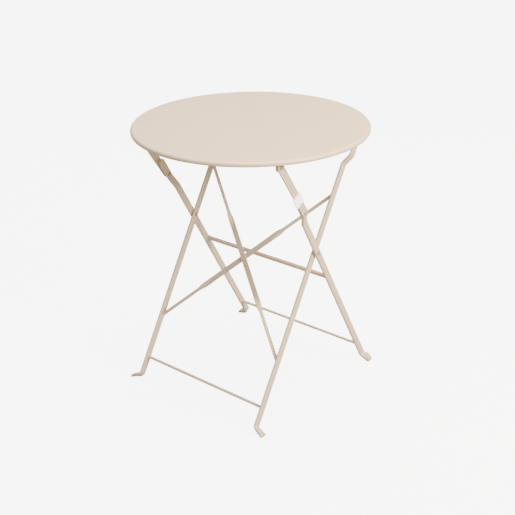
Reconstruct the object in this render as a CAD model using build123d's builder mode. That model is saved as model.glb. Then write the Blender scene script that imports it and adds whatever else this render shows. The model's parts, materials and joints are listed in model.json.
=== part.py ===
from build123d import *
from math import cos, radians, sin, tan
import os

# A round folding bistro table. Two leg frames cross like scissors on one pivot line.
# The inner frame carries the hinge of the top. The outer frame holds the front of the
# top through two flat link bars. Millimetres, +Z up, origin on the floor under the
# centre of the top, +X along the foot rods, -Y towards the feet of the inner frame.

# Whole table
table_height = 710.0
top_radius = 300.0

# Pressed steel top
sheet = 1.5
shoulder_radius = 7.0
bead_radius = 3.0
rim_depth = 11.5

# Leg frames
pivot_height = 413.0
inner_lean = 31.0
outer_lean = -29.5
tube_width = 20.0
tube_thickness = 8.0
tube_wall = 1.2
tube_bend = 12.0
side_gap = 1.0
inner_layer = 202.5
outer_layer = inner_layer + tube_thickness + side_gap
inner_joggle = 15.0
inner_joggle_start = 232.0
inner_joggle_end = 257.0
outer_joggle = 10.0
outer_joggle_start = 114.0
outer_joggle_end = 143.0
closed_end = 14.0

# Feet
foot_splay = 66.0
foot_bend_height = 14.5
tube_end_height = 9.5
cap_wall = 1.0
cap_sleeve = 6.0
pad_reach = 15.5
pad_forward = 3.5
pad_width = 21.0
pad_thickness = 9.0
pad_sink = 0.3
pad_rounding = 1.5

# Foot rods and the crossbar of the outer frame
rod_diameter = 8.0
front_rod_height = 59.0
rear_rod_height = 57.5
crossbar_diameter = 12.0
crossbar_wall = 1.2
crossbar_drop = 107.5
crossbar_lift = 4.0

# Twisted straps of the inner frame
strap_width = 15.0
strap_thickness = 2.5
strap_low = -289.5
strap_high = 148.5
low_twist_centre = 92.0
high_twist_centre = 77.0
twist_half_length = 15.0
twist_steps = 6
quarter_turn = 90.0

# Hinge of the top, and the link bars
hinge_height = 692.0
link_pivot_height = 690.0
link_pivot_y = -171.5
knee_reach = 155.5
knee_overrun = 53.0
link_width = 20.0
link_thickness = 4.0

# Rails under the top
ear_thickness = 3.0
ear_radius = 11.0
ear_foot = 28.0
rail_width = 22.0
rail_thickness = 1.5

# Rivets and washers
rivet_radius = 3.0
rivet_play = 0.05
head_radius = 5.0
head_height = 2.2
head_taper = 30.0
washer_radius = 8.0
washer_play = 0.1
open_pivot_gap = 0.15

# Plain white band round the right-hand link bar
band_centre = 52.0
band_length = 30.0
band_thickness = 0.4
band_half_width = 14.5
band_bulge = 1.2
band_corner = 2.0

# Places that follow from the sizes above
sides = {"left": -1, "right": 1}
underside = table_height - sheet
hinge_y = (hinge_height - pivot_height) * tan(radians(inner_lean))
hinge_reach = (hinge_height - pivot_height) / cos(radians(inner_lean))
inner_pad_layer = inner_layer + inner_joggle
outer_pad_layer = outer_layer + outer_joggle
link_inner_face = outer_pad_layer + tube_thickness / 2 + side_gap
link_outer_face = link_inner_face + link_thickness
ear_outer_face = link_inner_face - side_gap
ear_inner_face = ear_outer_face - ear_thickness
half_tube = tube_thickness / 2
half_width = tube_width / 2


def leg_frame_plane(lean):
    """Plane of a leg frame through the crossing pivots: x is sideways, y is up the legs."""
    tilt = radians(lean)
    return Plane(
        origin=(0, 0, pivot_height), x_dir=(1, 0, 0), z_dir=(0, -cos(tilt), sin(tilt))
    )


def reach_at(height, lean):
    """Distance up the legs from the crossing pivots to a height above the floor."""
    return (height - pivot_height) / cos(radians(lean))


inner_plane = leg_frame_plane(inner_lean)
outer_plane = leg_frame_plane(outer_lean)
knee = outer_plane.from_local_coords((0, knee_reach, 0))
link_rise = link_pivot_height - knee.Z
link_run = link_pivot_y - knee.Y
link_length = (link_rise**2 + link_run**2) ** 0.5


def leg_corners(lean, layer, joggle, joggle_start, joggle_end, end):
    """Corners of a left leg's centre line in its frame's plane, from the foot to the top."""
    bend = reach_at(foot_bend_height, lean)
    drop = bend - reach_at(tube_end_height, lean)
    spread = drop * tan(radians(foot_splay))
    return [
        (-layer - spread, bend - drop),
        (-layer, bend),
        (-layer, joggle_start),
        (-layer - joggle, joggle_end),
        (-layer - joggle, end),
    ]


def leg(plane, corners, hole_places):
    """Bent flat-oval tube with a closed round end at the top and rivet holes across it."""
    end_x, end_reach = corners[-1]
    with BuildPart() as tube:
        with BuildLine(plane) as centre_line:
            FilletPolyline(*corners, radius=tube_bend)
        start = Plane(
            origin=centre_line.line @ 0, x_dir=plane.z_dir, z_dir=centre_line.line % 0
        )
        with BuildSketch(start):
            SlotOverall(tube_width, tube_thickness)
            SlotOverall(
                tube_width - 2 * tube_wall, tube_thickness - 2 * tube_wall, mode=Mode.SUBTRACT
            )
        sweep()
        top_end = plane.from_local_coords((end_x, end_reach, 0))
        with BuildSketch(Plane(origin=top_end, x_dir=plane.z_dir, z_dir=plane.y_dir)):
            SlotOverall(tube_width, tube_thickness)
        extrude(amount=-half_width - closed_end)
        round_centre = plane.from_local_coords((end_x, end_reach - half_width, 0))
        across = Plane(origin=round_centre, x_dir=-plane.z_dir, z_dir=(1, 0, 0))
        with BuildSketch(across):
            with Locations((0, half_width)):
                Rectangle(2 * tube_width, tube_width)
            Circle(half_width, mode=Mode.SUBTRACT)
        extrude(amount=tube_width, both=True, mode=Mode.SUBTRACT)
        for hole_x, hole_reach in hole_places:
            centre = plane.from_local_coords((hole_x, hole_reach, 0))
            with BuildSketch(Plane(origin=centre, z_dir=(1, 0, 0))):
                Circle(rivet_radius + rivet_play)
            extrude(amount=tube_width, both=True, mode=Mode.SUBTRACT)
    return tube.part


def opposite(part):
    """The same piece for the other side of the table."""
    with BuildPart() as other:
        mirror(part, about=Plane.YZ)
    return other.part


def foot_cap(plane, corners):
    """Moulded cap over the end of a left leg, which ends in a pad flat on the floor."""
    tip = plane.from_local_coords((*corners[0], 0))
    bend = plane.from_local_coords((*corners[1], 0))
    end_plane = Plane(origin=tip, x_dir=plane.z_dir, z_dir=tip - bend)
    pad_centre = tip + Vector(-pad_reach, -pad_forward, pad_thickness / 2 - pad_sink - tip.Z)
    pad_plane = Plane(origin=pad_centre, x_dir=(0, -1, 0), z_dir=(-1, 0, 0))
    with BuildPart() as cap:
        for sleeve_plane in (end_plane.offset(-cap_sleeve), end_plane):
            with BuildSketch(sleeve_plane):
                SlotOverall(tube_width + 2 * cap_wall, tube_thickness + 2 * cap_wall)
        with BuildSketch(pad_plane):
            SlotOverall(pad_width, pad_thickness)
        loft()
        fillet(cap.faces().sort_by(Axis.X)[0].edges(), pad_rounding)
        with BuildSketch(end_plane):
            SlotOverall(tube_width, tube_thickness)
        extrude(amount=-2 * cap_sleeve, mode=Mode.SUBTRACT)
        split(bisect_by=Plane.XY, keep=Keep.TOP)
    return cap.part


def cross_rod(plane, reach, lift, half_length, diameter, bore):
    """Straight round bar or tube along X, at a reach up the legs and a lift behind them."""
    middle = plane.from_local_coords((0, reach, -lift))
    with BuildPart() as rod:
        with BuildSketch(Plane(origin=middle, z_dir=(1, 0, 0))):
            Circle(diameter / 2)
            if bore:
                Circle(bore / 2, mode=Mode.SUBTRACT)
        extrude(amount=half_length, both=True)
    return rod.part


def strap(side, lift):
    """Flat bar across the inner frame, with a quarter twist near each of its ends."""
    face = inner_layer - half_tube
    low = inner_plane.from_local_coords((-side * face, strap_low, lift))
    high = inner_plane.from_local_coords((side * face, strap_high, lift))
    middle = (low + high) * 0.5
    slope = ((strap_high - strap_low) ** 2 + (2 * face) ** 2) ** 0.5 / (2 * face)
    flat = Plane(origin=middle, x_dir=inner_plane.z_dir, z_dir=high - low)

    def section(distance, turn):
        with BuildSketch(flat.offset(distance)) as outline:
            Rectangle(strap_thickness, strap_width, rotation=turn)
        return outline.sketch

    low_start = (low_twist_centre - twist_half_length) * slope
    high_start = (high_twist_centre - twist_half_length) * slope
    twist_length = 2 * twist_half_length * slope
    beyond_leg = (face + tube_width) * slope
    with BuildPart() as bar:
        extrude(section(-low_start, 0), amount=low_start + high_start)
        for end, start in ((-1, low_start), (1, high_start)):
            twist = []
            for step in range(twist_steps + 1):
                share = step / twist_steps
                distance = end * (start + share * twist_length)
                twist.append(section(distance, share * quarter_turn))
            loft(sections=twist)
            twist_end = start + twist_length
            tail = section(end * twist_end, quarter_turn)
            extrude(tail, amount=end * (beyond_leg - twist_end))
        split(bisect_by=Plane.YZ.offset(face), keep=Keep.BOTTOM)
        split(bisect_by=Plane.YZ.offset(-face), keep=Keep.TOP)
    return bar.part


def rivet(side, place, shank_start, shank_end, inner_head, outer_head):
    """Rivet along X at a place, with its shank between two sideways distances."""
    start = Plane(origin=(side * shank_start, place.Y, place.Z), z_dir=(side, 0, 0))
    with BuildPart() as fastener:
        with BuildSketch(start):
            Circle(rivet_radius)
        extrude(amount=shank_end - shank_start)
        if inner_head:
            with BuildSketch(start):
                Circle(head_radius)
            extrude(amount=-head_height, taper=head_taper)
        if outer_head:
            with BuildSketch(start.offset(shank_end - shank_start)):
                Circle(head_radius)
            extrude(amount=head_height, taper=head_taper)
    return fastener.part


def washer(side, place, inner_face, thickness):
    """Flat washer round a pivot line, from a sideways distance outwards."""
    start = Plane(origin=(side * inner_face, place.Y, place.Z), z_dir=(side, 0, 0))
    with BuildPart() as ring:
        with BuildSketch(start):
            Circle(washer_radius)
            Circle(rivet_radius + rivet_play, mode=Mode.SUBTRACT)
        extrude(amount=thickness)
    return ring.part


def pair_of(make, *sizes):
    """One fastener on each side of the table, as two separate solids."""
    return Compound(children=[make(side, *sizes) for side in sides.values()])


def link_plane(side):
    """Plane of a link bar's inner face: x runs from the knee to the top, z is outwards."""
    origin = (side * link_inner_face, knee.Y, knee.Z)
    return Plane(origin=origin, x_dir=(0, link_run, link_rise), z_dir=(side, 0, 0))


def link_bar(side):
    """Flat bar with round ends, one over the knee and one over the ear of the rail."""
    with BuildPart() as bar:
        with BuildSketch(link_plane(side)):
            with Locations((link_length / 2, 0)):
                SlotCenterToCenter(link_length, link_width)
            with Locations((0, 0), (link_length, 0)):
                Circle(rivet_radius + rivet_play, mode=Mode.SUBTRACT)
        extrude(amount=link_thickness)
    return bar.part


def rail(side):
    """Strip pressed against the underside of the top, with an ear turned down at each end."""
    front_end = link_pivot_y - ear_foot / 2
    back_end = hinge_y + ear_radius
    rail_x = side * (ear_outer_face - rail_width / 2)
    with BuildPart() as strip:
        with BuildSketch(Plane.XY.offset(underside - rail_thickness)):
            with Locations((rail_x, (front_end + back_end) / 2)):
                Rectangle(rail_width, back_end - front_end)
        extrude(amount=rail_thickness)
        for pivot_y, pivot_z in ((link_pivot_y, link_pivot_height), (hinge_y, hinge_height)):
            centre = (side * ear_inner_face, pivot_y, pivot_z)
            ear_top = underside - rail_thickness - pivot_z
            with BuildSketch(Plane(origin=centre, x_dir=(0, 1, 0), z_dir=(1, 0, 0))):
                Circle(ear_radius)
                with Locations((0, ear_top / 2)):
                    Rectangle(2 * ear_radius, ear_top)
                Circle(rivet_radius + rivet_play, mode=Mode.SUBTRACT)
            extrude(amount=side * ear_thickness)
    return strip.part


# Top: one sheet with a rounded shoulder, a short skirt and a rolled bead at its edge
with BuildPart() as table_top:
    with BuildSketch(Plane.XZ):
        with BuildLine():
            Line((0, table_height), (top_radius - shoulder_radius, table_height))
            RadiusArc(
                (top_radius - shoulder_radius, table_height),
                (top_radius, table_height - shoulder_radius),
                shoulder_radius,
            )
            Line(
                (top_radius, table_height - shoulder_radius),
                (top_radius, table_height - rim_depth + bead_radius),
            )
            Line(
                (top_radius, table_height - rim_depth + bead_radius),
                (top_radius - sheet, table_height - rim_depth + bead_radius),
            )
            Line(
                (top_radius - sheet, table_height - rim_depth + bead_radius),
                (top_radius - sheet, table_height - shoulder_radius),
            )
            RadiusArc(
                (top_radius - sheet, table_height - shoulder_radius),
                (top_radius - shoulder_radius, underside),
                sheet - shoulder_radius,
            )
            Line((top_radius - shoulder_radius, underside), (0, underside))
            Line((0, underside), (0, table_height))
        make_face()
        with Locations((top_radius - bead_radius, table_height - rim_depth + bead_radius)):
            Circle(bead_radius)
    revolve(axis=Axis.Z)

parts = {"table_top": table_top.part}

# Legs and their foot caps, made for the left side and mirrored
inner_corners = leg_corners(
    inner_lean,
    inner_layer,
    inner_joggle,
    inner_joggle_start,
    inner_joggle_end,
    hinge_reach + half_width,
)
outer_corners = leg_corners(
    outer_lean,
    outer_layer,
    outer_joggle,
    outer_joggle_start,
    outer_joggle_end,
    knee_reach + knee_overrun,
)
inner_holes = [(-inner_layer, 0), (-inner_pad_layer, hinge_reach)]
outer_holes = [(-outer_layer, 0), (-outer_pad_layer, knee_reach)]
left_pieces = {
    "inner_leg": leg(inner_plane, inner_corners, inner_holes),
    "outer_leg": leg(outer_plane, outer_corners, outer_holes),
    "front_foot_cap": foot_cap(inner_plane, inner_corners),
    "rear_foot_cap": foot_cap(outer_plane, outer_corners),
}
for name, piece in left_pieces.items():
    parts[f"{name}_left"] = piece
    parts[f"{name}_right"] = opposite(piece)

# Rails, link bars and the knee fasteners that ride on the link bars
washer_thickness = side_gap - washer_play
knee_start = ear_outer_face + open_pivot_gap
knee_washer = side_gap - open_pivot_gap
for side_name, side in sides.items():
    parts[f"top_rail_{side_name}"] = rail(side)
    parts[f"link_bar_{side_name}"] = link_bar(side)
    parts[f"knee_rivet_head_{side_name}"] = rivet(
        side, knee, knee_start, link_outer_face, False, True
    )
    parts[f"knee_washer_{side_name}"] = washer(side, knee, knee_start, knee_washer)

# Bars that join the legs of each frame
parts["front_foot_rod"] = cross_rod(
    inner_plane,
    reach_at(front_rod_height, inner_lean),
    0,
    inner_layer - half_tube,
    rod_diameter,
    0,
)
parts["rear_foot_rod"] = cross_rod(
    outer_plane,
    reach_at(rear_rod_height, outer_lean),
    0,
    outer_layer - half_tube,
    rod_diameter,
    0,
)
parts["outer_frame_crossbar"] = cross_rod(
    outer_plane,
    -crossbar_drop,
    crossbar_lift,
    outer_layer - half_tube,
    crossbar_diameter,
    crossbar_diameter - 2 * crossbar_wall,
)
parts["brace_strap_to_right"] = strap(1, -strap_thickness / 2)
parts["brace_strap_to_left"] = strap(-1, strap_thickness / 2)

# Rivets and washers at the pivot lines
crossing = Vector(0, 0, pivot_height)
hinge = Vector(0, hinge_y, hinge_height)
link_pivot = Vector(0, link_pivot_y, link_pivot_height)
inner_face = inner_layer - half_tube
outer_face = outer_layer + half_tube
hinge_face = inner_pad_layer - half_tube
knee_face = outer_pad_layer - half_tube
parts["crossing_rivets"] = pair_of(rivet, crossing, inner_face, outer_face, True, True)
parts["hinge_rivets"] = pair_of(rivet, hinge, hinge_face, ear_outer_face, True, True)
parts["link_top_rivets"] = pair_of(
    rivet, link_pivot, ear_inner_face, link_outer_face, True, True
)
parts["knee_rivet_tails"] = pair_of(rivet, knee, knee_face, ear_outer_face, True, False)
for name, place, face in (
    ("crossing_washers", crossing, inner_layer + half_tube),
    ("hinge_washers", hinge, inner_pad_layer + half_tube),
    ("link_top_washers", link_pivot, ear_outer_face),
):
    parts[name] = pair_of(washer, place, face, washer_thickness)

# White band: a loose flat loop round the right-hand link bar, close to its inner face
with BuildPart() as white_band:
    band_start = link_plane(1)
    inner_side = Plane(
        origin=band_start.from_local_coords((band_centre - band_length / 2, 0, 0)),
        x_dir=(1, 0, 0),
        z_dir=band_start.x_dir,
    )
    band_depth = link_thickness + band_bulge
    with BuildSketch(inner_side):
        with Locations((band_depth / 2, 0)):
            RectangleRounded(
                band_depth + 2 * band_thickness,
                2 * band_half_width + 2 * band_thickness,
                band_corner + band_thickness,
            )
            RectangleRounded(
                band_depth, 2 * band_half_width, band_corner, mode=Mode.SUBTRACT
            )
    extrude(amount=band_length)
parts["white_band"] = white_band.part

os.makedirs("parts", exist_ok=True)
for name, part in parts.items():
    part.label = name
    export_step(part, f"parts/{name}.step")
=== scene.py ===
import json
from math import cos, pi, radians, sin

import bpy
from bpy.props import FloatProperty, FloatVectorProperty, IntProperty, PointerProperty
from mathutils import Matrix, Vector


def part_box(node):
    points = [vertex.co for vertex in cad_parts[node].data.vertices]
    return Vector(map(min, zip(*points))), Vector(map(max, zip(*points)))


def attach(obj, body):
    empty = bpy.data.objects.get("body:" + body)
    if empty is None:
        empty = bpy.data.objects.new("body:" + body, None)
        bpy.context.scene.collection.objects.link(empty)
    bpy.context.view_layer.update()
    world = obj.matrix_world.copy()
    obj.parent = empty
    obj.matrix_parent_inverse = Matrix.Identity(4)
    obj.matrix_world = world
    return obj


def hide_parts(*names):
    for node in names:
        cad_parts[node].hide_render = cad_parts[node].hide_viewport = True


bl_info = {
    "name": "Folding bistro table",
    "version": (1, 0, 0),
    "blender": (4, 5, 0),
    "location": "View3D > Sidebar > Bistro table",
    "description": "Skins, fasteners, welds and finishes for a folding steel bistro table",
    "category": "Object",
}

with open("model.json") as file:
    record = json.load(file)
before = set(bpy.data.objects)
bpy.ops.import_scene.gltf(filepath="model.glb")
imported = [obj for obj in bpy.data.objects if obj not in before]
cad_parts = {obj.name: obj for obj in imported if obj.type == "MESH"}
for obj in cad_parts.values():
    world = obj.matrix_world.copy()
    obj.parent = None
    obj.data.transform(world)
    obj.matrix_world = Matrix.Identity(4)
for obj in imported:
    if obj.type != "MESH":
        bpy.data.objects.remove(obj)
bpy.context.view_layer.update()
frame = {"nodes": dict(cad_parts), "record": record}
MM = 0.001
FLOOR_GLOW = (0.98, 1.0, 1.0, 1.0)
WARM_LIGHT = (1.0, 0.86, 0.71)
WARM_SKY = (1.0, 0.84, 0.66)
KEY_PLACE = (2.9, 0.2, 2.3)
KEY_SIZE = 1.4
OVERHEAD_PLACE = (0.3, 0.3, 3.3)
OVERHEAD_SIZE = 2.2
LAMP_AIM = (0, 0, 0.4)
FLOOR_HALF = 30.0
SENSOR_WIDTH = 36.0
SIDEWAYS_SHIFT = 0.0098
SOFT_LIGHT = (0.96, 0.97, 1.0)


# ---------------------------------------------------------------- places from the frame


def middle(node):
    """Centre of a CAD node's box."""
    low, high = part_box(node)
    return (Vector(low) + Vector(high)) / 2


def joint_place(name):
    """Point on a joint's pivot line, from the record."""
    for joint in frame["record"]["behaviour"]["joints"]:
        if joint["name"] == name:
            return Vector(joint["pos_m"])
    raise RuntimeError(f"there is no joint named {name}")


TOP_LOW, TOP_HIGH = (Vector(corner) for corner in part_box("table_top"))
CROSSING = joint_place("leg_fold")
HINGE = joint_place("top_fold")
LINK_TOP = joint_place("link_fold_left")

# Distances from the middle of the table to the faces that rivets and welds sit on
INNER_LEG_FACE = 198.5 * MM
OUTER_LEG_FACE = 207.5 * MM
CROSSING_OUTSIDE = 215.5 * MM
HINGE_INSIDE = 213.5 * MM
KNEE_INSIDE = 217.5 * MM
EAR_INSIDE = 222.5 * MM
EAR_OUTSIDE = 225.5 * MM
LINK_OUTSIDE = 230.5 * MM

# Inner leg frame, and the places of its straps along the legs from the crossing
FRAME_LEAN = radians(31.0)
STRAP_ENDS = (-289.5 * MM, 148.5 * MM)
STRAP_LIFT = 1.25 * MM
STRAP_WELD_HALF_WIDTH = 7.6 * MM
STRAP_WELD_HALF_HEIGHT = 1.9 * MM

# Steps of the rounded parts of the table top's outline
SHOULDER_STEPS = 12
BEAD_STEPS = 24
BEAD_TURN = 270
BEAD_INSET = 0.2 * MM
FLAT_SHARES = (0.25, 0.5, 0.75, 0.9)


# ---------------------------------------------------------------- node graphs


class Value:
    """A node's output that takes part in Python expressions."""

    def __init__(self, graph, socket):
        self.graph = graph
        self.socket = socket

    def _math(self, operation, *values):
        return self.graph.node("ShaderNodeMath", {"operation": operation}, values)

    def __add__(self, other):
        return self._math("ADD", self, other)

    def __radd__(self, other):
        return self._math("ADD", other, self)

    def __sub__(self, other):
        return self._math("SUBTRACT", self, other)

    def __rsub__(self, other):
        return self._math("SUBTRACT", other, self)

    def __mul__(self, other):
        return self._math("MULTIPLY", self, other)

    def __rmul__(self, other):
        return self._math("MULTIPLY", other, self)

    def __truediv__(self, other):
        return self._math("DIVIDE", self, other)

    def __pow__(self, other):
        return self._math("POWER", self, other)


class Graph:
    """A node tree under construction, for a material or for Geometry Nodes."""

    def __init__(self, tree):
        self.tree = tree

    def node(self, kind, settings=None, inputs=(), output=0):
        """Adds a node, sets it, feeds its sockets by index or name, and returns one output."""
        made = self.tree.nodes.new(kind)
        for name, setting in (settings or {}).items():
            if name == "stops":
                self._set_stops(made.color_ramp, setting)
            else:
                setattr(made, name, setting)
        pairs = inputs.items() if isinstance(inputs, dict) else enumerate(inputs)
        for key, value in pairs:
            self.feed(made.inputs[key], value)
        return Value(self, made.outputs[output])

    def also(self, value, name):
        """Another output of the node that a value comes from."""
        return Value(self, value.socket.node.outputs[name])

    def feed(self, socket, value):
        if isinstance(value, Value):
            self.tree.links.new(value.socket, socket)
        else:
            socket.default_value = value

    @staticmethod
    def _set_stops(ramp, stops):
        while len(ramp.elements) < len(stops):
            ramp.elements.new(1.0)
        for element, (place, shade) in zip(ramp.elements, stops):
            element.position = place
            element.color = (shade, shade, shade, 1.0)


def linear(colour):
    """Scene-linear RGBA of a display colour."""
    def channel(c):
        return c / 12.92 if c <= 0.04045 else ((c + 0.055) / 1.055) ** 2.4
    return tuple(channel(c) for c in colour[:3]) + (1.0,)


class Finish(Graph):
    """A material with one Principled shader, and the patterns that feed it."""

    def __init__(self, name, **constants):
        self.material = bpy.data.materials.new(name)
        self.material.use_nodes = True
        super().__init__(self.material.node_tree)
        self.shader = self.tree.nodes["Principled BSDF"]
        for socket, value in constants.items():
            self.shader.inputs[socket.replace("_", " ")].default_value = value
        self.place = self.node("ShaderNodeTexCoord", output="Object")

    def noise(self, scale, detail=3.0, roughness=0.5, vector=None):
        """Smooth noise from 0 to 1, with scale in cells per metre."""
        return self.node(
            "ShaderNodeTexNoise",
            {},
            {
                "Vector": vector or self.place,
                "Scale": scale,
                "Detail": detail,
                "Roughness": roughness,
            },
        )

    def ramp(self, value, *stops):
        """Grey ramp through (place, shade) stops."""
        return self.node("ShaderNodeValToRGB", {"stops": stops}, [value])

    def between(self, factor, first, second):
        """Colour that goes from first to second as the factor goes from 0 to 1."""
        return self.node(
            "ShaderNodeMix",
            {"data_type": "RGBA", "clamp_factor": True},
            {0: factor, 6: first, 7: second},
            output=2,
        )

    def stretched(self, scale):
        """Object coordinates stretched along the axes."""
        return self.node(
            "ShaderNodeMapping", {}, {"Vector": self.place, "Scale": scale}
        )

    def bumps(self, height, strength, distance):
        """Feeds a relief, with its height in metres, to the shader's normal."""
        normal = self.node(
            "ShaderNodeBump",
            {},
            {"Height": height, "Strength": strength, "Distance": distance},
        )
        self.feed(self.shader.inputs["Normal"], normal)

    def set(self, **patterns):
        for socket, value in patterns.items():
            self.feed(self.shader.inputs[socket.replace("_", " ")], value)
        return self.material


# ---------------------------------------------------------------- finishes

FINISHES = {
    "painted_steel": "beige_powder_coat",
    "rivet": "painted_rivet",
    "washer": "washer_nylon",
    "foot_cap": "foot_cap_plastic",
    "band": "band_film",
}


def finish(slot):
    """The finish of a material slot of the record."""
    return bpy.data.materials[FINISHES[slot]]


def powder_coat(name, colour, scuffing):
    """Satin powder coat: orange peel, faint clouding, hairline scuffs and dust."""
    coat = Finish(name, Specular_IOR_Level=0.45, Coat_Roughness=0.22)
    clouds = coat.noise(9.0, 4.0)
    specks = coat.noise(2600.0, 2.0)
    peel = coat.noise(950.0, 2.0, 0.6)
    rubbed = coat.ramp(coat.noise(38.0, 6.0, 0.65), (0.62, 0.0), (0.78, 1.0))
    hairlines = coat.ramp(
        coat.noise(1.0, 3.0, 0.6, coat.stretched((900.0, 55.0, 140.0))), (0.66, 0.0), (0.72, 1.0)
    )
    base = linear(colour)
    shade = tuple(c * 0.93 for c in base[:3]) + (1.0,)
    tint = coat.between(clouds, shade, base)
    tint = coat.between(coat.ramp(specks, (0.6, 0.0), (0.75, 0.10)), tint, (0.42, 0.36, 0.30, 1))
    worn = tuple(c * 0.80 for c in base[:3]) + (1.0,)
    tint = coat.between(rubbed * scuffing, tint, worn)
    rough = 0.36 + clouds * 0.10 + rubbed * 0.12 - hairlines * 0.05 * scuffing
    coat.bumps(peel + hairlines * -0.6 * scuffing, 0.22, 0.00012)
    return coat.set(Base_Color=tint, Roughness=rough, Coat_Weight=0.22 + clouds * 0.06)


def rivet_steel(name, colour):
    """Painted rivet whose setting tool has rubbed the crown to bare steel in places. Its coat colour
    is darkened as painted shade for the shadowed heads at the pivots.
    """
    steel = Finish(name, Specular_IOR_Level=0.5)
    worn = steel.ramp(steel.noise(620.0, 4.0, 0.6), (0.50, 0.0), (0.68, 1.0))
    grain = steel.noise(3200.0, 2.0)
    # Coat colour at 55 %: painted shade standing for the shadowed side of the rivet heads, not a
    # duller paint.
    painted_shade_coat = tuple(c * 0.55 for c in linear(colour)[:3]) + (1.0,)
    tint = steel.between(worn * 0.7, painted_shade_coat, (0.16, 0.145, 0.13, 1.0))
    steel.bumps(grain + worn * -0.8, 0.25, 0.00008)
    return steel.set(Base_Color=tint, Roughness=0.34 + grain * 0.14, Metallic=worn * 0.6)


def moulded_plastic(name, colour):
    """Moulded plastic with a spark-eroded grain and scuffed edges."""
    plastic = Finish(name, Specular_IOR_Level=0.4)
    grain = plastic.noise(2100.0, 3.0, 0.6)
    clouds = plastic.noise(130.0, 4.0)
    dirt = plastic.ramp(plastic.noise(310.0, 5.0, 0.65), (0.55, 0.0), (0.8, 1.0))
    base = linear(colour)
    dark = tuple(c * 0.78 for c in base[:3]) + (1.0,)
    tint = plastic.between(clouds * 0.35 + dirt * 0.25, base, dark)
    plastic.bumps(grain, 0.35, 0.00010)
    return plastic.set(Base_Color=tint, Roughness=0.52 + grain * 0.16)


def band_film(name, colour):
    """Thin white film, creased where it is wrapped. It glows a little as painted light, and is
    darker in the crease hollows as painted shade.
    """
    film = Finish(name, Specular_IOR_Level=0.35)
    creases = film.noise(1.0, 3.0, 0.6, film.stretched((60.0, 240.0, 420.0)))
    fibres = film.noise(1900.0, 3.0, 0.6)
    base = linear(colour)
    # Film colour at 94 %: painted shade in the hollows of the creases, where the crease relief is
    # low.
    painted_crease_shade = tuple(c * 0.94 for c in base[:3]) + (1.0,)
    film.bumps(creases * 0.8 + fibres * 0.2, 0.2, 0.0004)
    # Painted light: the film glows with its own colour at strength 2, though it is no lamp, so it
    # shows brighter.
    film.shader.inputs["Emission Strength"].default_value = 2.0
    tint = film.between(creases, painted_crease_shade, base)
    return film.set(Base_Color=tint, Emission_Color=tint, Roughness=0.48 + fibres * 0.2)


def studio_floor(name, colour, glow):
    """Pale studio floor. The glow is seen, but casts no light on the table from below."""
    floor = Finish(name, Specular_IOR_Level=0.1)
    clouds = floor.noise(1.6, 3.0)
    base = linear(colour)
    shade = tuple(c * 0.98 for c in base[:3]) + (1.0,)
    floor.set(Base_Color=floor.between(clouds, shade, base), Roughness=0.85 + clouds * 0.1)
    glowing = floor.node("ShaderNodeEmission", {}, {"Color": FLOOR_GLOW, "Strength": glow})
    both = floor.node("ShaderNodeAddShader", {}, [Value(floor, floor.shader.outputs[0]), glowing])
    seen = floor.node("ShaderNodeLightPath", output="Is Camera Ray")
    shown = floor.node(
        "ShaderNodeMixShader", {}, [seen, Value(floor, floor.shader.outputs[0]), both]
    )
    floor.feed(floor.tree.nodes["Material Output"].inputs["Surface"], shown)
    return floor.material


# ---------------------------------------------------------------- repeated details


class Shape(Graph):
    """A Geometry Nodes tree with named inputs, and the meshes it makes."""

    def __init__(self, name, *inputs):
        super().__init__(bpy.data.node_groups.new(name, "GeometryNodeTree"))
        sockets = self.tree.interface
        sockets.new_socket("Geometry", in_out="INPUT", socket_type="NodeSocketGeometry")
        for title in inputs:
            sockets.new_socket(title, in_out="INPUT", socket_type="NodeSocketFloat")
        sockets.new_socket("Geometry", in_out="OUTPUT", socket_type="NodeSocketGeometry")
        self.points = self.node("NodeGroupInput")

    def size(self, name):
        """A named input of the tree."""
        return self.also(self.points, name)

    def vector(self, x, y, z):
        return self.node("ShaderNodeCombineXYZ", {}, [x, y, z])

    def end(self, repeated, turn, material):
        """Puts the shape on every point, realizes it and gives it its material."""
        placed = self.node(
            "GeometryNodeInstanceOnPoints",
            {},
            {"Points": self.points, "Instance": repeated, "Rotation": turn},
        )
        real = self.node("GeometryNodeRealizeInstances", {}, [placed])
        painted = self.node(
            "GeometryNodeSetMaterial", {}, {"Geometry": real, "Material": material}
        )
        self.feed(self.tree.nodes.new("NodeGroupOutput").inputs["Geometry"], painted)

    def make(self, name, places, body, slot, **sizes):
        """Plain mesh of the shape at the places, which rides on a body."""
        mesh = bpy.data.meshes.new(name)
        mesh.from_pydata(places, [], [])
        piece = bpy.data.objects.new(name, mesh)
        bpy.context.scene.collection.objects.link(piece)
        modifier = piece.modifiers.new("shape", "NODES")
        modifier.node_group = self.tree
        for item in self.tree.interface.items_tree:
            key = item.name.lower().replace(" ", "_")
            if item.in_out == "INPUT" and key in sizes:
                modifier[item.identifier] = sizes[key]
        depsgraph = bpy.context.evaluated_depsgraph_get()
        made = bpy.data.meshes.new_from_object(piece.evaluated_get(depsgraph))
        piece.modifiers.clear()
        piece.data = made
        if not made.polygons:
            raise RuntimeError(f"{name} came out empty")
        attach(piece, body)
        return piece


def dome_shape(material):
    """Low domed rivet head, with its rim just under the face it is set on."""
    shape = Shape("domed_rivet_head", "Radius", "Height")
    ball = shape.node(
        "GeometryNodeMeshUVSphere", {}, {"Segments": 32, "Rings": 20, "Radius": 1.0}
    )
    size = shape.vector(shape.size("Height"), shape.size("Radius"), shape.size("Radius"))
    dome = shape.node("GeometryNodeTransform", {}, {"Geometry": ball, "Scale": size})
    smooth = shape.node("GeometryNodeSetShadeSmooth", {}, {"Geometry": dome})
    shape.end(smooth, (0.0, 0.0, 0.0), material)
    return shape


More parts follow.
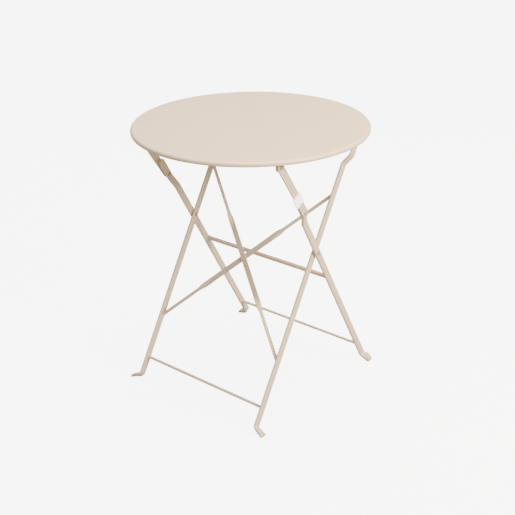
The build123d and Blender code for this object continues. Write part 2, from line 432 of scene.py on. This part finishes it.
def weld_shape(material):
    """Rippled fillet weld round the end of a bar that meets a leg's flat face."""
    shape = Shape("weld_bead", "Half width", "Half height", "Bead", "Ripple", "Turn", "Seed")
    ring = shape.node(
        "GeometryNodeCurvePrimitiveCircle", {"mode": "RADIUS"}, {"Resolution": 72, "Radius": 1.0}
    )
    size = shape.vector(shape.size("Half height"), shape.size("Half width"), 1.0)
    flat = shape.node("GeometryNodeTransform", {}, {"Geometry": ring, "Scale": size})
    upright = shape.node(
        "GeometryNodeTransform", {}, {"Geometry": flat, "Rotation": (0.0, pi / 2, 0.0)}
    )
    bead = shape.node(
        "GeometryNodeCurvePrimitiveCircle",
        {"mode": "RADIUS"},
        {"Resolution": 12, "Radius": shape.size("Bead")},
    )
    tube = shape.node(
        "GeometryNodeCurveToMesh", {}, {"Curve": upright, "Profile Curve": bead}
    )
    noise = shape.node(
        "ShaderNodeTexNoise",
        {"noise_dimensions": "4D"},
        {"W": shape.size("Seed"), "Scale": 420.0, "Detail": 2.0},
    )
    normal = shape.node("GeometryNodeInputNormal")
    offset = shape.node(
        "ShaderNodeVectorMath",
        {"operation": "SCALE"},
        {0: normal, 3: (noise - 0.5) * shape.size("Ripple")},
    )
    rippled = shape.node("GeometryNodeSetPosition", {}, {"Geometry": tube, "Offset": offset})
    smooth = shape.node("GeometryNodeSetShadeSmooth", {}, {"Geometry": rippled})
    shape.end(smooth, shape.vector(shape.size("Turn"), 0.0, 0.0), material)
    return shape


def both_sides(place, *faces):
    """The same place on both sides of the table, at distances from its middle."""
    return [(side * face, place.y, place.z) for side in (-1, 1) for face in faces]


# ---------------------------------------------------------------- sizes and colours


class BistroColours(bpy.types.PropertyGroup):
    coat: FloatVectorProperty(
        name="Powder coat",
        description="Colour of the painted steel",
        subtype="COLOR",
        size=3,
        min=0.0,
        max=1.0,
        default=(0.867, 0.784, 0.668),
    )
    caps: FloatVectorProperty(
        name="Foot caps",
        description="Colour of the plastic foot caps",
        subtype="COLOR",
        size=3,
        min=0.0,
        max=1.0,
        default=(0.83, 0.75, 0.645),
    )
    washers: FloatVectorProperty(
        name="Washers",
        description="Colour of the nylon washers",
        subtype="COLOR",
        size=3,
        min=0.0,
        max=1.0,
        # Dark as painted shade for the shaded gaps beside the pivots, not a known colour of the
        # washers.
        default=(0.30, 0.28, 0.26),
    )
    band: FloatVectorProperty(
        name="Band",
        description="Colour of the plain band round one link bar",
        subtype="COLOR",
        size=3,
        min=0.0,
        max=1.0,
        default=(0.995, 0.995, 0.98),
    )
    floor: FloatVectorProperty(
        name="Floor",
        description="Colour of the studio floor",
        subtype="COLOR",
        size=3,
        min=0.0,
        max=1.0,
        default=(0.62, 0.62, 0.60),
    )


class BistroDetails(bpy.types.PropertyGroup):
    head_radius: FloatProperty(
        name="Rivet head radius",
        description="Radius of the domed rivet heads",
        unit="LENGTH",
        default=5.7 * MM,
    )
    head_height: FloatProperty(
        name="Rivet head height",
        description="Height of the domed rivet heads",
        unit="LENGTH",
        default=3.0 * MM,
    )
    bead: FloatProperty(
        name="Weld bead",
        description="Radius of the weld beads",
        unit="LENGTH",
        default=1.3 * MM,
    )
    ripple: FloatProperty(
        name="Weld ripple",
        description="Depth of the ripples of the weld beads",
        unit="LENGTH",
        default=0.7 * MM,
    )
    seed: IntProperty(
        name="Weld seed", description="Seed of the ripples of the weld beads", default=7
    )
    shoulder: FloatProperty(
        name="Shoulder radius",
        description="Radius of the rounded shoulder of the table top",
        unit="LENGTH",
        default=7.0 * MM,
    )
    rim_bead: FloatProperty(
        name="Rim bead radius",
        description="Radius of the rolled bead at the edge of the table top",
        unit="LENGTH",
        default=3.0 * MM,
    )
    sheet: FloatProperty(
        name="Sheet",
        description="Thickness of the pressed sheet of the table top",
        unit="LENGTH",
        default=1.5 * MM,
    )
    facets: IntProperty(
        name="Top facets", description="Facets round the table top", default=360, min=24
    )


class BistroStudio(bpy.types.PropertyGroup):
    azimuth: FloatProperty(
        name="Azimuth",
        description="Direction of the camera round the table",
        subtype="ANGLE",
        default=radians(39.76),
    )
    elevation: FloatProperty(
        name="Elevation",
        description="Height of the camera above the horizon, as an angle",
        subtype="ANGLE",
        default=radians(25.1),
    )
    distance: FloatProperty(
        name="Distance",
        description="Distance of the camera from the point it looks at",
        unit="LENGTH",
        default=2.5499,
    )
    aim_height: FloatProperty(
        name="Aim height",
        description="Height of the point the camera looks at",
        unit="LENGTH",
        default=0.3385,
    )
    roll: FloatProperty(
        name="Roll",
        description="Turn of the camera about its own line of sight",
        subtype="ANGLE",
        default=-0.015,
    )
    lens: FloatProperty(
        name="Lens", description="Focal length of the camera, in millimetres", default=66.92
    )
    ambient: FloatProperty(
        name="Ambient", description="Strength of the soft light from all sides", default=0.68
    )
    backdrop: FloatProperty(
        name="Backdrop", description="Brightness of the backdrop beyond the floor", default=8.0
    )
    glow: FloatProperty(
        name="Floor glow", description="Brightness added to the floor in the picture", default=7.0
    )
    key: FloatProperty(
        name="Key light", description="Power of the large lamp on the right", default=260.0
    )
    fill: FloatProperty(
        name="Fill light", description="Power of the overhead lamp", default=210.0
    )


def settings():
    scene = bpy.context.scene
    return scene.bistro_colours, scene.bistro_details, scene.bistro_studio


# ---------------------------------------------------------------- stage


def add_lamp(name, place, size, power, colour):
    """Large soft area lamp that shines at the middle of the table."""
    lamp = bpy.data.lights.new(name, "AREA")
    lamp.shape = "SQUARE"
    lamp.size = size
    lamp.energy = power
    lamp.color = colour
    holder = bpy.data.objects.new(name, lamp)
    bpy.context.scene.collection.objects.link(holder)
    holder.location = place
    direction = Vector(LAMP_AIM) - Vector(place)
    holder.rotation_mode = "QUATERNION"
    holder.rotation_quaternion = direction.to_track_quat("-Z", "Y")


class BISTRO_OT_stage(bpy.types.Operator):
    """Make the pale floor, the soft light and the camera."""

    bl_idname = "bistro.stage"
    bl_label = "Stage"

    def execute(self, context):
        colours, _details, studio = settings()
        mesh = bpy.data.meshes.new("studio_floor")
        turns = ((-1, -1), (1, -1), (1, 1), (-1, 1))
        corners = [(x * FLOOR_HALF, y * FLOOR_HALF, 0) for x, y in turns]
        mesh.from_pydata(corners, [], [(0, 1, 2, 3)])
        floor = bpy.data.objects.new("studio_floor", mesh)
        context.scene.collection.objects.link(floor)
        mesh.materials.append(studio_floor("floor_paint", colours.floor, studio.glow))

        world = bpy.data.worlds.new("studio")
        world.use_nodes = True
        sky = Graph(world.node_tree)
        lit = sky.node("ShaderNodeBackground", {}, [(*SOFT_LIGHT, 1.0), studio.ambient])
        white = sky.node("ShaderNodeBackground", {}, [FLOOR_GLOW, studio.backdrop])
        seen = sky.node("ShaderNodeLightPath", output="Is Camera Ray")
        both = sky.node("ShaderNodeMixShader", {}, [seen, lit, white])
        sky.feed(world.node_tree.nodes["World Output"].inputs["Surface"], both)
        context.scene.world = world
        add_lamp("key", KEY_PLACE, KEY_SIZE, studio.key, WARM_LIGHT)
        add_lamp("overhead", OVERHEAD_PLACE, OVERHEAD_SIZE, studio.fill, WARM_SKY)

        lens = bpy.data.cameras.new("camera")
        lens.lens = studio.lens
        lens.sensor_width = SENSOR_WIDTH
        lens.shift_x = SIDEWAYS_SHIFT
        camera = bpy.data.objects.new("camera", lens)
        context.scene.collection.objects.link(camera)
        context.scene.camera = camera
        back = Vector(
            (
                sin(studio.azimuth) * cos(studio.elevation),
                -cos(studio.azimuth) * cos(studio.elevation),
                sin(studio.elevation),
            )
        )
        right = Vector((0, 0, 1)).cross(back).normalized()
        up = back.cross(right)
        turned_right = right * cos(studio.roll) + up * sin(studio.roll)
        turned_up = up * cos(studio.roll) - right * sin(studio.roll)
        rotation = Matrix((turned_right, turned_up, back)).transposed()
        place = Vector((0, 0, studio.aim_height)) + back * studio.distance
        camera.matrix_world = Matrix.Translation(place) @ rotation.to_4x4()
        return {"FINISHED"}


class BISTRO_OT_finishes(bpy.types.Operator):
    """Give every CAD part its finish."""

    bl_idname = "bistro.finishes"
    bl_label = "Finishes"

    def execute(self, context):
        colours, _details, _studio = settings()
        powder_coat(FINISHES["painted_steel"], colours.coat, 0.35)
        rivet_steel(FINISHES["rivet"], colours.coat)
        # The washers' dark colour is painted shade for the gaps at the pivots.
        moulded_plastic(FINISHES["washer"], colours.washers)
        moulded_plastic(FINISHES["foot_cap"], colours.caps)
        band_film(FINISHES["band"], colours.band)
        slots = {s["node"]: s["material_slot"] for s in frame["record"]["subparts"]}
        for name, part in frame["nodes"].items():
            part.data.materials.clear()
            part.data.materials.append(finish(slots[name]))
        return {"FINISHED"}


def top_outline(radius, details):
    """Radius and height of points round the pressed sheet, from its upper face to its lower."""
    high, low = TOP_HIGH.z, TOP_LOW.z
    shoulder, bead, sheet = details.shoulder, details.rim_bead, details.sheet
    turns = [radians(90 * step / SHOULDER_STEPS) for step in range(SHOULDER_STEPS + 1)]
    sweep = [radians(BEAD_TURN * step / BEAD_STEPS) for step in range(BEAD_STEPS + 1)]

    def arc(reach, angles):
        return [
            (radius - shoulder + reach * sin(turn), high - shoulder + reach * cos(turn))
            for turn in angles
        ]

    return [
        *((radius * share, high) for share in FLAT_SHARES),
        *arc(shoulder, turns),
        *((radius - bead + bead * cos(turn), low + bead - bead * sin(turn)) for turn in sweep),
        (radius - sheet, low + 2 * bead - BEAD_INSET),
        *arc(shoulder - sheet, reversed(turns)),
        *((radius * share, high - sheet) for share in reversed(FLAT_SHARES)),
    ]


def turned(outline, facets):
    """Points and faces of an outline turned round the Z axis and closed at both its ends."""
    turns = [2 * pi * facet / facets for facet in range(facets)]
    points = [
        (reach * cos(turn), reach * sin(turn), height) for reach, height in outline for turn in turns
    ]
    faces = []
    for ring in range(len(outline) - 1):
        inside, outside = ring * facets, (ring + 1) * facets
        for facet in range(facets):
            after = (facet + 1) % facets
            faces.append((inside + facet, outside + facet, outside + after, inside + after))
    for ring, order in ((0, 1), (len(outline) - 1, -1)):
        points.append((0.0, 0.0, outline[ring][1]))
        for facet in range(facets):
            corners = (ring * facets + facet, ring * facets + (facet + 1) % facets)
            faces.append((len(points) - 1, *corners[::order]))
    return points, faces


class BISTRO_OT_top(bpy.types.Operator):
    """Make the pressed top with its rounded shoulder and rolled bead."""

    bl_idname = "bistro.top"
    bl_label = "Table top"

    def execute(self, context):
        _colours, details, _studio = settings()
        radius = min(TOP_HIGH.x, TOP_HIGH.y, -TOP_LOW.x, -TOP_LOW.y)
        points, faces = turned(top_outline(radius, details), details.facets)
        mesh = bpy.data.meshes.new("table_top_pressing")
        mesh.from_pydata(points, [], faces)
        mesh.shade_smooth()
        mesh.materials.append(finish("painted_steel"))
        top = bpy.data.objects.new("table_top_pressing", mesh)
        context.scene.collection.objects.link(top)
        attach(top, "top")
        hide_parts("table_top")
        return {"FINISHED"}


class BISTRO_OT_rivets(bpy.types.Operator):
    """Make the domed heads of the rivets at the pivots."""

    bl_idname = "bistro.rivets"
    bl_label = "Rivet heads"

    def execute(self, context):
        _colours, details, _studio = settings()
        dome = dome_shape(finish("rivet"))
        knee = middle("knee_rivet_head_left")
        crossing = both_sides(CROSSING, INNER_LEG_FACE, CROSSING_OUTSIDE)
        groups = (
            ("crossing_rivet_domes", "inner_frame", crossing),
            ("hinge_rivet_domes", "inner_frame", both_sides(HINGE, HINGE_INSIDE, EAR_OUTSIDE)),
            ("link_top_rivet_domes", "top", both_sides(LINK_TOP, EAR_INSIDE, LINK_OUTSIDE)),
            ("knee_tail_domes", "outer_frame", both_sides(knee, KNEE_INSIDE)),
            ("knee_dome_left", "link_left", [(-LINK_OUTSIDE, knee.y, knee.z)]),
            ("knee_dome_right", "link_right", [(LINK_OUTSIDE, knee.y, knee.z)]),
        )
        for name, body, places in groups:
            dome.make(
                name,
                places,
                body,
                "rivet",
                radius=details.head_radius,
                height=details.head_height,
            )
        return {"FINISHED"}


class BISTRO_OT_welds(bpy.types.Operator):
    """Make the weld beads where rods, crossbar and straps meet the legs."""

    bl_idname = "bistro.welds"
    bl_label = "Weld beads"

    def execute(self, context):
        _colours, details, _studio = settings()
        weld = weld_shape(finish("painted_steel"))
        strap_ends = []
        for reach in STRAP_ENDS:
            for side in (-1, 1):
                outward = -side * STRAP_LIFT if reach > 0 else side * STRAP_LIFT
                strap_ends.append(
                    (
                        side * INNER_LEG_FACE,
                        CROSSING.y + reach * sin(FRAME_LEAN) - outward * cos(FRAME_LEAN),
                        CROSSING.z + reach * cos(FRAME_LEAN) + outward * sin(FRAME_LEAN),
                    )
                )
        for node, body, face in (
            ("front_foot_rod", "inner_frame", INNER_LEG_FACE),
            ("rear_foot_rod", "outer_frame", OUTER_LEG_FACE),
            ("outer_frame_crossbar", "outer_frame", OUTER_LEG_FACE),
        ):
            centre = middle(node)
            radius = Vector(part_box(node)[1]).z - centre.z
            weld.make(
                f"{node}_welds",
                both_sides(centre, face),
                body,
                "painted_steel",
                half_width=radius,
                half_height=radius,
                bead=details.bead,
                ripple=details.ripple,
                seed=float(details.seed),
            )
        weld.make(
            "strap_welds",
            strap_ends,
            "inner_frame",
            "painted_steel",
            half_width=STRAP_WELD_HALF_WIDTH,
            half_height=STRAP_WELD_HALF_HEIGHT,
            bead=details.bead,
            ripple=details.ripple,
            turn=-FRAME_LEAN,
            seed=float(details.seed),
        )
        return {"FINISHED"}


class BISTRO_PT_panel(bpy.types.Panel):
    """Sizes, colours and pieces of the folding bistro table"""

    bl_idname = "BISTRO_PT_panel"
    bl_label = "Folding bistro table"
    bl_space_type = "VIEW_3D"
    bl_region_type = "UI"
    bl_category = "Bistro table"

    def draw(self, context):
        for group in settings():
            box = self.layout.box()
            for name in group.__annotations__:
                box.prop(group, name)
        for operator in OPERATORS:
            self.layout.operator(operator.bl_idname)


OPERATORS = (
    BISTRO_OT_stage,
    BISTRO_OT_finishes,
    BISTRO_OT_top,
    BISTRO_OT_rivets,
    BISTRO_OT_welds,
)
CLASSES = (BistroColours, BistroDetails, BistroStudio, *OPERATORS, BISTRO_PT_panel)


def register():
    for cls in CLASSES:
        bpy.utils.register_class(cls)
    bpy.types.Scene.bistro_colours = PointerProperty(type=BistroColours)
    bpy.types.Scene.bistro_details = PointerProperty(type=BistroDetails)
    bpy.types.Scene.bistro_studio = PointerProperty(type=BistroStudio)


def unregister():
    del bpy.types.Scene.bistro_studio
    del bpy.types.Scene.bistro_details
    del bpy.types.Scene.bistro_colours
    for cls in reversed(CLASSES):
        bpy.utils.unregister_class(cls)


def main():
    register()
    for operator in OPERATORS:
        group, name = operator.bl_idname.split(".")
        getattr(getattr(bpy.ops, group), name)()


if __name__ == "__main__":
    main()
